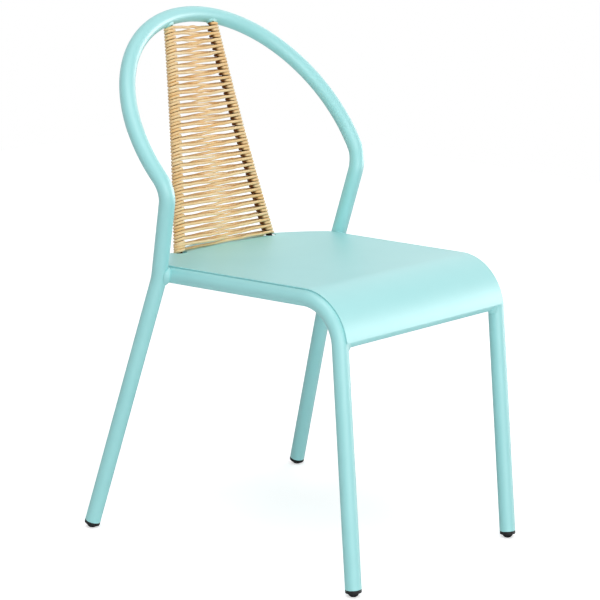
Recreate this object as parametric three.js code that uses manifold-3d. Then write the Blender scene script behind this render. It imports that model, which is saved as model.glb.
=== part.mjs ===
// Stacking bistro chair of bent steel tube with a sheet seat and a wound back splat.
// Millimetres, +Z up, the sitter faces -Y, so the sitter's left is +X.
// The front feet's axes meet the floor at y = 0 until the whole chair is centred at the end.
import * as THREE from 'three';
import { mergeVertices } from 'three/addons/utils/BufferGeometryUtils.js';
import Module from 'manifold-3d';

const wasm = await Module();
wasm.setup();

const degree = Math.PI / 180;

// Frame tube, the clearance kept between pieces that touch, and the overrun of every cut
const tubeDiameter = 25;
const tubeWall = 1.5;
const seatingGap = 0.3;
const cutOverrun = 40;

// Front legs and side rails: each pair is one bent tube
const frontFootSpread = 384;
const frontLegRake = 6.7 * degree;
const frontLegSplay = 0.4 * degree;
const frontBendRadius = 68;
const railRearSpread = 391;

// Seat panel
const seatHeight = 450;
const seatPitch = 2.1 * degree;
const panelThickness = 2;
const panelSideLap = 1.5;
const apronDrop = 72;
const seatCornerLap = 4;
const seatBackBulge = 89;
const notchRadius = 12;

// Rear legs, elbows and hoop: one bent tube
const rearFootSpread = 496;
const rearFootSetback = 107;
const rearBendSpread = 421;
const rearBendDepth = 393;
const rearBendDrop = 4;
const rearBendRadius = 100;
const elbowForward = 31;
const elbowRise = 112;
const elbowRadius = 50;
const hoopRadius = 234;
const hoopCentreRise = 65;
const hoopRecline = 38.3 * degree;

// Cross tube behind the apron and the bow under the back of the panel
const crossTubeDiameter = 16;
const crossTubeWall = 1.5;
const crossTubeDrop = 3;
const bowInset = 11.2;

// Splat: two rods and one cord wound round both in figures of eight
const rodDiameter = 10;
const rodFootSpread = 212;
const rodTopSpread = 95;
const rodTopForward = 5;
const rodInwardBow = 3.6;
const cordDiameter = 4.6;
const windingLoops = 24;
const turnsPerRod = 1.5;
const windingFootRise = 4;
const windingHeadDrop = 22;
const cordEndShare = 0.28;
const cordEndBendRadius = 6;

// Foot plugs
const plugLength = 18;
const plugClearance = 0.3;
const flangeThickness = 5;
const flangeDiameter = 25;
const domeDrop = 6;
const domeDiameter = 17;
const domeSink = 1;
const plugChamfer = 1.5;

// Fineness of round shapes
const tubeSides = 16;
const slimTubeSides = 12;
const rodSides = 8;
const cordSides = 6;
const plugSides = 24;
const domeSteps = 5;
const bendStep = 11 * degree;
const hoopStep = 8 * degree;
const plateStep = 6 * degree;
const rodSteps = 8;
const stepsPerWrap = 11;
const cordEndSteps = 4;
const mergeDistance = 1e-4;

// Places that follow from others
const apronHeight = seatHeight - apronDrop;
const rearFootDepth = rearBendDepth + rearFootSetback;
const elbowDepth = rearBendDepth - elbowForward;
const elbowHeight = seatHeight + elbowRise;
const tubeRadius = tubeDiameter / 2;
const crossTubeRadius = crossTubeDiameter / 2;
const rodRadius = rodDiameter / 2;
const cordRadius = cordDiameter / 2;

// Materials, one for each piece so that each can be changed alone
function powderCoat() {
  return new THREE.MeshStandardMaterial({ color: 0x9fdedb, roughness: 0.42, metalness: 0.0 });
}

function darkSteel() {
  return new THREE.MeshStandardMaterial({ color: 0x3a2c20, roughness: 0.55, metalness: 0.6 });
}

function rattanCord() {
  return new THREE.MeshStandardMaterial({ color: 0xe2b878, roughness: 0.5, metalness: 0.0 });
}

function blackPlastic() {
  return new THREE.MeshStandardMaterial({ color: 0x141414, roughness: 0.6, metalness: 0.0 });
}

const vec = (x, y, z) => new THREE.Vector3(x, y, z);

// A path through given stations, straight between them, with one step for each stretch
class Route extends THREE.Curve {
  constructor(stations) {
    super();
    this.stations = stations;
  }

  getPoint(t, target = new THREE.Vector3()) {
    const last = this.stations.length - 1;
    const place = Math.min(Math.max(t, 0), 1) * last;
    const index = Math.min(Math.floor(place), last - 1);
    return target.lerpVectors(this.stations[index], this.stations[index + 1], place - index);
  }

  getUtoTmapping(u) {
    return u;
  }
}

// Stations along a polyline whose inner corners are rounded to the given radii
function roundedStations(corners, radii) {
  const stations = [corners[0]];
  for (let i = 1; i < corners.length - 1; i += 1) {
    const into = corners[i].clone().sub(corners[i - 1]).normalize();
    const out = corners[i + 1].clone().sub(corners[i]).normalize();
    const turn = into.angleTo(out);
    const radius = radii[i - 1];
    const reach = radius * Math.tan(turn / 2);
    const start = corners[i].clone().addScaledVector(into, -reach);
    const inward = out.clone().addScaledVector(into, -out.dot(into)).normalize();
    const centre = start.clone().addScaledVector(inward, radius);
    const steps = Math.max(2, Math.ceil(turn / bendStep));
    for (let k = 0; k <= steps; k += 1) {
      const angle = turn * k / steps;
      const point = centre.clone();
      point.addScaledVector(inward, -radius * Math.cos(angle));
      point.addScaledVector(into, radius * Math.sin(angle));
      stations.push(point);
    }
  }
  stations.push(corners[corners.length - 1]);
  return stations;
}

// A round section as a polygon
function ring(radius, sides) {
  const points = [];
  for (let k = 0; k < sides; k += 1) {
    const angle = 2 * Math.PI * (k + 0.5) / sides;
    points.push(new THREE.Vector2(radius * Math.cos(angle), radius * Math.sin(angle)));
  }
  return points;
}

// Keeps only positions, merges shared corners and turns the faces outwards
function closedGeometry(source) {
  const bare = source.clone();
  bare.deleteAttribute('normal');
  bare.deleteAttribute('uv');
  const merged = mergeVertices(bare, mergeDistance);
  const place = merged.getAttribute('position');
  const index = merged.getIndex().array;
  const a = new THREE.Vector3();
  const b = new THREE.Vector3();
  const c = new THREE.Vector3();
  let volume = 0;
  for (let i = 0; i < index.length; i += 3) {
    a.fromBufferAttribute(place, index[i]);
    b.fromBufferAttribute(place, index[i + 1]);
    c.fromBufferAttribute(place, index[i + 2]);
    volume += a.dot(b.cross(c));
  }
  if (volume < 0) {
    for (let i = 0; i < index.length; i += 3) {
      [index[i], index[i + 1]] = [index[i + 1], index[i]];
    }
  }
  return merged;
}

// A tube or bar along a list of stations
function tubeAlong(stations, outerRadius, sides, wall = 0) {
  const section = new THREE.Shape(ring(outerRadius, sides));
  if (wall > 0) {
    section.holes.push(new THREE.Path(ring(outerRadius - wall, sides).reverse()));
  }
  const extruded = new THREE.ExtrudeGeometry(section, {
    steps: stations.length - 1,
    extrudePath: new Route(stations),
    bevelEnabled: false,
  });
  return closedGeometry(extruded);
}

function toSolid(geometry) {
  return new wasm.Manifold(new wasm.Mesh({
    numProp: 3,
    vertProperties: new Float32Array(geometry.getAttribute('position').array),
    triVerts: new Uint32Array(geometry.getIndex().array),
  }));
}

function toGeometry(solid) {
  const mesh = solid.getMesh();
  const geometry = new THREE.BufferGeometry();
  geometry.setAttribute('position', new THREE.BufferAttribute(mesh.vertProperties, mesh.numProp));
  geometry.setIndex(new THREE.BufferAttribute(mesh.triVerts, 1));
  return geometry;
}

function cut(geometry, ...tools) {
  let solid = toSolid(geometry);
  for (const tool of tools) {
    solid = solid.subtract(toSolid(tool));
  }
  return toGeometry(solid);
}

// Side view of a front leg and its rail, as depth and height.
// The rail's axis lies under the panel, whose top passes through seatHeight over the bend.
const panelTopToAxis = panelThickness + seatingGap + tubeRadius;
const railCorner = vec(0, 0, seatHeight - panelTopToAxis / Math.cos(seatPitch));
railCorner.y = railCorner.z * Math.tan(frontLegRake);
railCorner.x = frontFootSpread / 2 - railCorner.z * Math.tan(frontLegSplay);
const railEndDepth = rearBendDepth + tubeRadius;
const railDrop = depth => railCorner.z - (depth - railCorner.y) * Math.tan(seatPitch);
const railHalfSpread = depth => THREE.MathUtils.lerp(
  railCorner.x, railRearSpread / 2, (depth - railCorner.y) / (rearBendDepth - railCorner.y));

// The panel's back edge is an arc through its rear corners beside the rear legs
const panelRearHalf = railRearSpread / 2 + panelSideLap;
const seatBackRadius = (panelRearHalf ** 2 + seatBackBulge ** 2) / (2 * seatBackBulge);
const seatBackCentreDepth = rearBendDepth + seatCornerLap + seatBackBulge - seatBackRadius;

// Height of the panel's top face at a depth behind the front bend
const panelTop = depth => seatHeight - (depth - railCorner.y) * Math.tan(seatPitch);

const footTip = flangeThickness + domeDrop + seatingGap;

// The point on a leg's axis where its tube ends above the foot plug
function tubeEnd(foot, next) {
  const up = next.clone().sub(foot).normalize();
  return foot.clone().addScaledVector(up, footTip);
}

function frontLegCorners(side) {
  const foot = vec(side * frontFootSpread / 2, 0, 0);
  const corner = vec(side * railCorner.x, railCorner.y, railCorner.z);
  const end = vec(side * railHalfSpread(railEndDepth), railEndDepth, railDrop(railEndDepth));
  return { foot, corner, end };
}

function frontLegStations(side) {
  const { foot, corner, end } = frontLegCorners(side);
  return roundedStations([tubeEnd(foot, corner), corner, end], [frontBendRadius]);
}

// One bent tube from the foot to the rear leg, its rear end closed by a disc as thick as the wall
function frontLegAndRail(side) {
  const stations = frontLegStations(side);
  const { corner, end } = frontLegCorners(side);
  const forward = corner.clone().sub(end).normalize();
  const disc = [end.clone().addScaledVector(forward, tubeWall), end];
  const tube = toSolid(tubeAlong(stations, tubeRadius, tubeSides, tubeWall));
  return toGeometry(tube.add(toSolid(tubeAlong(disc, tubeRadius, tubeSides))));
}

// Hoop plane: it passes through both elbows and leans back from the vertical
const hoopUp = vec(0, Math.sin(hoopRecline), Math.cos(hoopRecline));
const elbowHalfSpread = Math.sqrt(hoopRadius ** 2 - hoopCentreRise ** 2);
const hoopCentre = vec(0, elbowDepth, elbowHeight).addScaledVector(hoopUp, hoopCentreRise);
const elbowAngle = Math.PI / 2 + Math.asin(hoopCentreRise / hoopRadius);

// A point of the hoop's centre line, its angle measured from the top
function hoopPoint(angle) {
  const point = hoopCentre.clone().addScaledVector(hoopUp, hoopRadius * Math.cos(angle));
  point.x = hoopRadius * Math.sin(angle);
  return point;
}

function rearFoot(side) {
  return vec(side * rearFootSpread / 2, rearFootDepth, 0);
}

function rearBend(side) {
  return vec(side * rearBendSpread / 2, rearBendDepth, railDrop(rearBendDepth) - rearBendDrop);
}

// Rear leg, elbow and half hoop on the sitter's left, from the foot to just before the top
function halfHoopStations() {
  const foot = rearFoot(1);
  const bend = rearBend(1);
  const elbow = vec(elbowHalfSpread, elbowDepth, elbowHeight);
  const upright = elbow.clone().sub(bend).normalize();
  const tangent = angle => vec(-Math.cos(angle), 0, 0).addScaledVector(hoopUp, Math.sin(angle));
  const turn = upright.angleTo(tangent(elbowAngle));
  const reach = elbowRadius * Math.tan(turn / 2);
  const handle = elbowRadius * Math.tan(turn / 4) * 4 / 3;
  const arcStart = elbowAngle - reach / hoopRadius;
  const bendStart = elbow.clone().addScaledVector(upright, -reach);
  const bendEnd = hoopPoint(arcStart);
  const elbowCurve = new THREE.CubicBezierCurve3(
    bendStart,
    bendStart.clone().addScaledVector(upright, handle),
    bendEnd.clone().addScaledVector(tangent(arcStart), -handle),
    bendEnd,
  );
  const stations = roundedStations([tubeEnd(foot, bend), bend, bendStart], [rearBendRadius]);
  stations.pop();
  stations.push(...elbowCurve.getPoints(Math.ceil(turn / bendStep)));
  const steps = Math.round(arcStart / hoopStep);
  for (let k = 1; k < steps; k += 1) {
    stations.push(hoopPoint(arcStart * (1 - k / steps)));
  }
  return stations;
}

function hoopStations() {
  const left = halfHoopStations();
  const right = left.map(point => vec(-point.x, point.y, point.z)).reverse();
  return [...left, hoopPoint(0), ...right];
}

// The solid that a neighbour is cut by, a seating gap wider than the tube itself
const envelope = (stations, radius, sides) => tubeAlong(stations, radius + seatingGap, sides);

// Seat panel: a flat strip carried up in front of the legs from the floor, over the front bend
// and back along the rails, then trimmed to the seat's plan and to the apron's lower edge
function panelStations() {
  const up = vec(0, Math.sin(frontLegRake), Math.cos(frontLegRake));
  const back = vec(0, Math.cos(seatPitch), -Math.sin(seatPitch));
  const turn = up.angleTo(back);
  const corner = vec(0, railCorner.y, railCorner.z);
  const bendStart = corner.addScaledVector(up, -frontBendRadius * Math.tan(turn / 2));
  const forward = vec(0, -up.z, up.y);
  const centre = bendStart.clone().addScaledVector(forward, -frontBendRadius);
  const radius = frontBendRadius + tubeRadius + seatingGap + panelThickness / 2;
  const steps = Math.ceil(turn / plateStep);
  const stations = [];
  for (let k = 0; k <= steps; k += 1) {
    const angle = turn * k / steps;
    const point = centre.clone();
    point.addScaledVector(forward, radius * Math.cos(angle));
    point.addScaledVector(up, radius * Math.sin(angle));
    stations.push(point);
  }
  stations.unshift(stations[0].clone().addScaledVector(up, -stations[0].z / up.z));
  const rearmost = seatBackCentreDepth + seatBackRadius + cutOverrun;
  const last = stations[stations.length - 1];
  stations.push(last.clone().addScaledVector(back, (rearmost - last.y) / back.y));
  return stations;
}

function panelPlan() {
  const frontHalf = railCorner.x + panelSideLap;
  const cornerAngle = Math.asin(panelRearHalf / seatBackRadius);
  const outline = [
    new THREE.Vector2(frontHalf, -cutOverrun),
    new THREE.Vector2(frontHalf, railCorner.y),
  ];
  const steps = 2 * Math.ceil(cornerAngle / plateStep);
  for (let k = 0; k <= steps; k += 1) {
    const angle = cornerAngle * (1 - 2 * k / steps);
    const depth = seatBackCentreDepth + seatBackRadius * Math.cos(angle);
    outline.push(new THREE.Vector2(seatBackRadius * Math.sin(angle), depth));
  }
  outline.push(new THREE.Vector2(-frontHalf, railCorner.y));
  outline.push(new THREE.Vector2(-frontHalf, -cutOverrun));
  return outline;
}

function panelStrip() {
  const halfWidth = railRearSpread / 2 + cutOverrun;
  const halfSheet = panelThickness / 2;
  const stations = panelStations();
  const strip = new THREE.ExtrudeGeometry(new THREE.Shape([
    new THREE.Vector2(-halfWidth, -halfSheet),
    new THREE.Vector2(halfWidth, -halfSheet),
    new THREE.Vector2(halfWidth, halfSheet),
    new THREE.Vector2(-halfWidth, halfSheet),
  ]), { steps: stations.length - 1, extrudePath: new Route(stations), bevelEnabled: false });
  return closedGeometry(strip);
}

// A notch in the panel's back edge that a rod and its winding pass through
function rodNotch(side) {
  const outline = [new THREE.Vector2(notchRadius, cutOverrun)];
  const steps = Math.ceil(Math.PI / (2 * bendStep));
  for (let k = 0; k <= steps; k += 1) {
    const angle = Math.PI * k / steps;
    outline.push(new THREE.Vector2(notchRadius * Math.cos(angle), -notchRadius * Math.sin(angle)));
  }
  outline.push(new THREE.Vector2(-notchRadius, cutOverrun));
  const notch = new THREE.ExtrudeGeometry(new THREE.Shape(outline), {
    depth: seatHeight,
    bevelEnabled: false,
  });
  notch.translate(side * rodFootSpread / 2, rodFootDepth, 0);
  return closedGeometry(notch);
}

function seatPanel() {
  const trim = new THREE.ExtrudeGeometry(new THREE.Shape(panelPlan()), {
    depth: seatHeight + cutOverrun - apronHeight,
    bevelEnabled: false,
  });
  trim.translate(0, 0, apronHeight);
  const sheet = toSolid(panelStrip()).intersect(toSolid(closedGeometry(trim)));
  return cut(toGeometry(sheet), rodNotch(1), rodNotch(-1));
}

// Bow under the back of the panel, bent parallel to the panel's back edge
const bowRadius = seatBackRadius - bowInset;

function bowPoint(angle) {
  const depth = seatBackCentreDepth + bowRadius * Math.cos(angle);
  const topToAxis = (panelThickness + seatingGap + crossTubeRadius) / Math.cos(seatPitch);
  return vec(bowRadius * Math.sin(angle), depth, panelTop(depth) - topToAxis);
}

function bowStations() {
  const endAngle = Math.asin(railRearSpread / 2 / bowRadius);
  const steps = 2 * Math.ceil(endAngle / hoopStep);
  const stations = [];
  for (let k = 0; k <= steps; k += 1) {
    stations.push(bowPoint(endAngle * (2 * k / steps - 1)));
  }
  return stations;
}

// Cross tube between the front legs, its axis a little lower than the apron's lower edge
function crossTubeStations() {
  const height = apronHeight - crossTubeDrop;
  const depth = height * Math.tan(frontLegRake);
  const half = frontFootSpread / 2 - height * Math.tan(frontLegSplay);
  return [vec(-half, depth, height), vec(half, depth, height)];
}

// Splat rods stand on the bow, in the panel's notches, and end on the hoop
const rodFootDepth = seatBackCentreDepth + Math.sqrt(bowRadius ** 2 - (rodFootSpread / 2) ** 2);
const rodTopAngle = Math.asin(rodTopSpread / 2 / hoopRadius);

// A point of a rod's axis, share 0 at the panel's top and 1 inside the hoop, ahead of its centre line
function rodPoint(side, share) {
  const foot = vec(rodFootSpread / 2, rodFootDepth, panelTop(rodFootDepth) + seatingGap);
  const top = hoopPoint(rodTopAngle);
  top.y -= rodTopForward;
  const point = foot.lerp(top, share);
  point.x -= rodInwardBow * 4 * share * (1 - share);
  point.x *= side;
  return point;
}

function rodStations(side) {
  const stations = [];
  for (let k = 0; k <= rodSteps; k += 1) {
    stations.push(rodPoint(side, k / rodSteps));
  }
  const down = stations[0].clone().sub(stations[1]).normalize();
  stations.unshift(stations[0].clone().addScaledVector(down, panelThickness + crossTubeRadius));
  return stations;
}

// Winding: each loop passes round the right rod and then the left one, one and a half turns on
// each, and crosses twice. Each turn climbs half a loop's pitch, so the turns are evenly spaced.
const rodLength = rodPoint(1, 0).distanceTo(rodPoint(1, 1));
const splatUp = rodPoint(1, 1).add(rodPoint(-1, 1)).sub(rodPoint(1, 0)).sub(rodPoint(-1, 0)).normalize();
const splatBack = vec(0, splatUp.z, -splatUp.y);
const windingHeight = rodLength - windingFootRise - windingHeadDrop;
const loopPitch = windingHeight / windingLoops;
const halfStep = Math.PI * turnsPerRod / stepsPerWrap;
const wrapRadius = (rodRadius + cordRadius + seatingGap) / Math.cos(halfStep);

// Wrap of one rod: from its back, round the outside to its front, once more, and off inwards
function wrapStations(side, loop) {
  const stations = [];
  const startRise = windingFootRise + (loop + (side > 0 ? 1 / 2 : 0)) * loopPitch;
  for (let k = 0; k <= stepsPerWrap; k += 1) {
    const share = k / stepsPerWrap;
    const rise = startRise + share * turnsPerRod * loopPitch / 2;
    const centre = rodPoint(side, rise / rodLength);
    const lean = Math.asin(wrapRadius / Math.abs(centre.x));
    const sweep = 2 * Math.PI * turnsPerRod + 2 * lean;
    const angle = Math.PI / 2 + lean - sweep * share;
    centre.x += side * wrapRadius * Math.cos(angle);
    centre.addScaledVector(splatBack, wrapRadius * Math.sin(angle));
    stations.push(centre);
  }
  return stations;
}

// A loose end that leaves a strand between the rods and runs square to the piece it meets
function looseEnd(strandPoint, strandWay, endWay) {
  const stations = [];
  for (let k = 1; k <= cordEndSteps; k += 1) {
    const angle = Math.PI / 2 * k / cordEndSteps;
    const point = strandPoint.clone();
    point.addScaledVector(strandWay, cordEndBendRadius * Math.sin(angle));
    point.addScaledVector(endWay, cordEndBendRadius * (1 - Math.cos(angle)));
    stations.push(point);
  }
  return stations;
}

function windingStations() {
  const stations = [];
  for (let loop = 0; loop < windingLoops; loop += 1) {
    stations.push(...wrapStations(-1, loop), ...wrapStations(1, loop));
  }
  const last = stations[stations.length - 1];
  const panelNormal = vec(0, Math.sin(seatPitch), Math.cos(seatPitch));
  const footSeat = rodPoint(1, 0).addScaledVector(splatBack, -wrapRadius);
  footSeat.x *= 1 - cordEndShare;
  footSeat.z = panelTop(footSeat.y) + seatingGap;
  const footRise = cordDiameter + cordEndBendRadius;
  const footStrand = footSeat.clone().addScaledVector(panelNormal, footRise);
  const footEnd = looseEnd(footStrand, vec(1, 0, 0), panelNormal.clone().negate());
  const footStop = footEnd[footEnd.length - 1].clone().addScaledVector(panelNormal, -cordDiameter);
  const headAngle = Math.asin(last.x * (1 - cordEndShare) / hoopRadius);
  const hoopPlace = hoopPoint(headAngle);
  const hoopWay = vec(Math.cos(headAngle), 0, 0).addScaledVector(hoopUp, -Math.sin(headAngle));
  const headWay = hoopPlace.clone().sub(last).projectOnPlane(hoopWay).normalize();
  const headStop = hoopPlace.clone().addScaledVector(headWay, -tubeRadius - seatingGap);
  const headStrand = headStop.clone().addScaledVector(headWay, -footRise);
  headStrand.x += cordEndBendRadius;
  const headEnd = looseEnd(headStrand, vec(-1, 0, 0), headWay);
  return [footStop, ...footEnd.reverse(), footStrand, ...stations, headStrand, ...headEnd, headStop];
}

// Round tube of few sides joined ring by ring, its section carried along without twisting
function cordGeometry(stations) {
  const route = new Route(stations);
  const steps = stations.length - 1;
  const frames = route.computeFrenetFrames(steps, false);
  const positions = [];
  const index = [];
  stations.forEach((point, i) => {
    for (let k = 0; k < cordSides; k += 1) {
      const angle = 2 * Math.PI * k / cordSides;
      const corner = point.clone();
      corner.addScaledVector(frames.normals[i], cordRadius * Math.cos(angle));
      corner.addScaledVector(frames.binormals[i], cordRadius * Math.sin(angle));
      positions.push(corner.x, corner.y, corner.z);
    }
  });
  for (let i = 0; i < steps; i += 1) {
    for (let k = 0; k < cordSides; k += 1) {
      const a = i * cordSides + k;
      const b = i * cordSides + (k + 1) % cordSides;
      index.push(a, b, a + cordSides, b, b + cordSides, a + cordSides);
    }
  }
  const lastRing = steps * cordSides;
  for (let k = 1; k < cordSides - 1; k += 1) {
    index.push(0, k + 1, k);
    index.push(lastRing, lastRing + k, lastRing + k + 1);
  }
  const geometry = new THREE.BufferGeometry();
  geometry.setAttribute('position', new THREE.Float32BufferAttribute(positions, 3));
  geometry.setIndex(index);
  return closedGeometry(geometry);
}

// Least gap between stretches of the cord that aren't neighbours along it
function leastGap(stations) {
  const spacing = cordRadius;
  const neighbourLength = 3 * cordDiameter;
  const points = [];
  const lengths = [];
  let run = 0;
  for (let i = 1; i < stations.length; i += 1) {
    const span = stations[i].distanceTo(stations[i - 1]);
    const count = Math.ceil(span / spacing);
    for (let k = 0; k < count; k += 1) {
      points.push(stations[i - 1].clone().lerp(stations[i], k / count));
      lengths.push(run + span * k / count);
    }
    run += span;
  }
  let least = Infinity;
  for (let i = 0; i < points.length; i += 1) {
    for (let j = i + 1; j < points.length; j += 1) {
      if (lengths[j] - lengths[i] > neighbourLength) {
        least = Math.min(least, points[i].distanceTo(points[j]));
      }
    }
  }
  return least - cordDiameter;
}

// Foot plug: a stem inside the tube, a flange as wide as the tube and a dome cut flat on the floor
function footPlug(foot, next) {
  const stemRadius = tubeRadius - tubeWall - plugClearance;
  const domeHeight = domeDrop + domeSink;
  const profile = [];
  for (let k = 0; k <= domeSteps; k += 1) {
    const angle = Math.PI / 2 * (1 - k / domeSteps);
    profile.push([domeDiameter / 2 * Math.cos(angle), domeDrop - domeHeight * Math.sin(angle)]);
  }
  profile[0][0] = 0;
  profile.push(
    [flangeDiameter / 2, domeDrop],
    [flangeDiameter / 2, domeDrop + flangeThickness],
    [stemRadius, domeDrop + flangeThickness],
    [stemRadius, domeDrop + flangeThickness + plugLength - plugChamfer],
    [stemRadius - plugChamfer, domeDrop + flangeThickness + plugLength],
    [0, domeDrop + flangeThickness + plugLength],
  );
  const outline = profile.map(([radius, rise]) => new THREE.Vector2(radius, rise));
  const plug = new THREE.LatheGeometry(outline, plugSides);
  const up = next.clone().sub(foot).normalize();
  plug.applyQuaternion(new THREE.Quaternion().setFromUnitVectors(vec(0, 1, 0), up));
  plug.translate(foot.x, foot.y, foot.z);
  const floor = new THREE.BoxGeometry(2 * cutOverrun, 2 * cutOverrun, cutOverrun);
  floor.translate(foot.x, foot.y, -cutOverrun / 2);
  return cut(closedGeometry(plug), closedGeometry(floor));
}

const chair = new THREE.Group();

function addPiece(name, geometry, material) {
  const mesh = new THREE.Mesh(geometry, material);
  mesh.name = name;
  chair.add(mesh);
}

const sideNames = { left: 1, right: -1 };
const hoopLine = hoopStations();
const hoopEnvelope = envelope(hoopLine, tubeRadius, tubeSides);
addPiece('back_hoop_and_rear_legs', tubeAlong(hoopLine, tubeRadius, tubeSides, tubeWall), powderCoat());

const railEnvelopes = [];
for (const [sideName, side] of Object.entries(sideNames)) {
  addPiece(`front_leg_and_rail_${sideName}`, cut(frontLegAndRail(side), hoopEnvelope), powderCoat());
  railEnvelopes.push(envelope(frontLegStations(side), tubeRadius, tubeSides));
}

addPiece('seat_panel', seatPanel(), powderCoat());

const crossTube = tubeAlong(crossTubeStations(), crossTubeRadius, slimTubeSides, crossTubeWall);
addPiece('front_cross_tube', cut(crossTube, ...railEnvelopes), powderCoat());

const bow = tubeAlong(bowStations(), crossTubeRadius, slimTubeSides, crossTubeWall);
const bowEnvelope = envelope(bowStations(), crossTubeRadius, slimTubeSides);
addPiece('rear_seat_bow', cut(bow, ...railEnvelopes, hoopEnvelope), powderCoat());

for (const [sideName, side] of Object.entries(sideNames)) {
  const rod = tubeAlong(rodStations(side), rodRadius, rodSides);
  addPiece(`splat_rod_${sideName}`, cut(rod, hoopEnvelope, bowEnvelope), darkSteel());
}

const windingLine = windingStations();
console.log(`splat winding: least gap to itself ${leastGap(windingLine).toFixed(2)} mm`);
addPiece('splat_winding', cordGeometry(windingLine), rattanCord());

for (const [sideName, side] of Object.entries(sideNames)) {
  const { foot, corner } = frontLegCorners(side);
  addPiece(`foot_plug_front_${sideName}`, footPlug(foot, corner), blackPlastic());
  addPiece(`foot_plug_rear_${sideName}`, footPlug(rearFoot(side), rearBend(side)), blackPlastic());
}

// The origin stands on the floor under the middle of the chair's box
const middle = new THREE.Box3().setFromObject(chair).getCenter(new THREE.Vector3());
chair.position.y = -middle.y;

export default chair;
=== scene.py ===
"""Stacking bistro chair: bent tube frame, sheet seat and a back splat wound with cord.

Metres, +Z up, the sitter faces -Y and the sitter's left is +X.
Places along Y are first counted back from the front feet and then moved by front_foot_depth.
"""

import bpy
import numpy as np
from bpy.props import FloatProperty, FloatVectorProperty, IntProperty, PointerProperty
from mathutils import Matrix


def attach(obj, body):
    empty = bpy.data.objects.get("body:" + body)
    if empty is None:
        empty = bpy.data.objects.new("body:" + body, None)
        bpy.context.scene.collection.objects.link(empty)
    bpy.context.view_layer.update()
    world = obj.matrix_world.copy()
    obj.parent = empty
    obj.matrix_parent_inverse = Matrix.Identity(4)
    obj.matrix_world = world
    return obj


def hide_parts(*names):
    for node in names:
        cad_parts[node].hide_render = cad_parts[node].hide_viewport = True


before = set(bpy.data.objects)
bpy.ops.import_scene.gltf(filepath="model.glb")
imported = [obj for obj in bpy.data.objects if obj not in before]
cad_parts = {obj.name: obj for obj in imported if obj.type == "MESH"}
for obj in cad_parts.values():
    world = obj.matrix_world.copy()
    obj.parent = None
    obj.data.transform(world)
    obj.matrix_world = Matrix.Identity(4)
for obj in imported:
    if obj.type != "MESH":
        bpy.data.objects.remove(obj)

bl_info = {
    "name": "Hoop back bistro chair",
    "version": (1, 0, 0),
    "blender": (4, 5, 0),
    "location": "View3D > Sidebar > Chair",
    "description": "Builds a bistro chair with a tube frame, a sheet seat and a splat wound with cord",
    "category": "Add Mesh",
}

BODY = "root"
SIDES = {"left": 1, "right": -1}
ACROSS = np.array([1.0, 0.0, 0.0])
UPWARD = np.array([0.0, 0.0, 1.0])

# How far apart the rings of a straight tube stand, and the angle between them in a bend
RING_SPACING = 0.012
BEND_STEP = np.radians(2.0)

# Winding: turns of a wrap, its climb in pitches after each quarter turn, where the first wrap starts, the seed and
# spacing of the cord's straying and its share beside the rods, and where painted shade on the cord beside a rod
# starts and where it is full, with the reach within which it lies on the rod, all three in wrap radii
WRAP_TURNS = 1.5
WRAP_CLIMB = (0.0, 0.19, 0.38, 0.42, 0.50, 0.69, 0.88)
FIRST_WRAP_START = 0.66
STRAY_SEED = 7
STRAY_SPACING = 0.014
STRAY_AT_ROD = 0.25
PAINTED_SHADE_FROM, PAINTED_SHADE_FULL, ON_ROD = 0.66, 0.94, 1.15

# Weld beads: steps of the search for the other tube and how much of it is searched, a direction that no tube has, the
# bead's fullness, how fast it tapers, its ripples, how far its inner point lies in the metal, how far its toes sink
# in, its sections and the points of each
WELD_SEARCH_STEPS, WELD_SEARCH_REACH = 240, 0.06
WELD_SLANT = (0.31, 0.52, 0.79)
WELD_FULLNESS = 1.25
WELD_TAPER = 0.35
WELD_RIPPLE, WELD_RIPPLE_LENGTH = 0.00025, 0.0022
WELD_INSIDE = 0.0012
WELD_SINK = 0.00025
WELD_SIDES, WELD_CURVE_POINTS = 72, 9
# A bead's reach as a share of the main welds'
WELD_SHARES = {"rail": 1.0, "cross_tube": 0.7, "seat_bow": 0.7, "rod": 0.5}

DISC_CROWN = 0.35  # flat middle of a rail's end disc, in tube radii
DOME_STOP = 0.97  # where a plug's dome ends in a small flat, as a share of its quarter turn

CAMERA_REACH = 100.0  # how far away the camera still sees a thing, in metres

# Way to each lamp from the chair, in shares of the camera's level right, its level back and up
LAMP_WAYS = {
    "front_lamp": (0.35, 1.0, 0.1),
    "sheen_lamp": (1.0, -0.5, 0.1),
    "top_lamp": (0.0, 0.3, 1.0),
    "back_lamp": (0.6, -1.0, 0.5),
}


def length(name, description, default):
    """A length that the user may set, in metres."""
    return FloatProperty(name=name, description=description, default=default, unit="LENGTH", precision=4)


def angle(name, description, degrees):
    """An angle that the user may set, its default written in degrees."""
    return FloatProperty(name=name, description=description, default=np.radians(degrees), subtype="ANGLE")


def watts(name, description, default):
    """A lamp's power that the user may set."""
    return FloatProperty(name=name, description=description, default=default, unit="POWER")


def whole(name, description, default):
    """A whole number that the user may set."""
    return IntProperty(name=name, description=description, default=default, min=1)


def colour(name, description, default):
    """A linear colour that the user may set."""
    return FloatVectorProperty(name=name, description=description, default=default, subtype="COLOR", size=3,
                               min=0, max=1)


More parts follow.
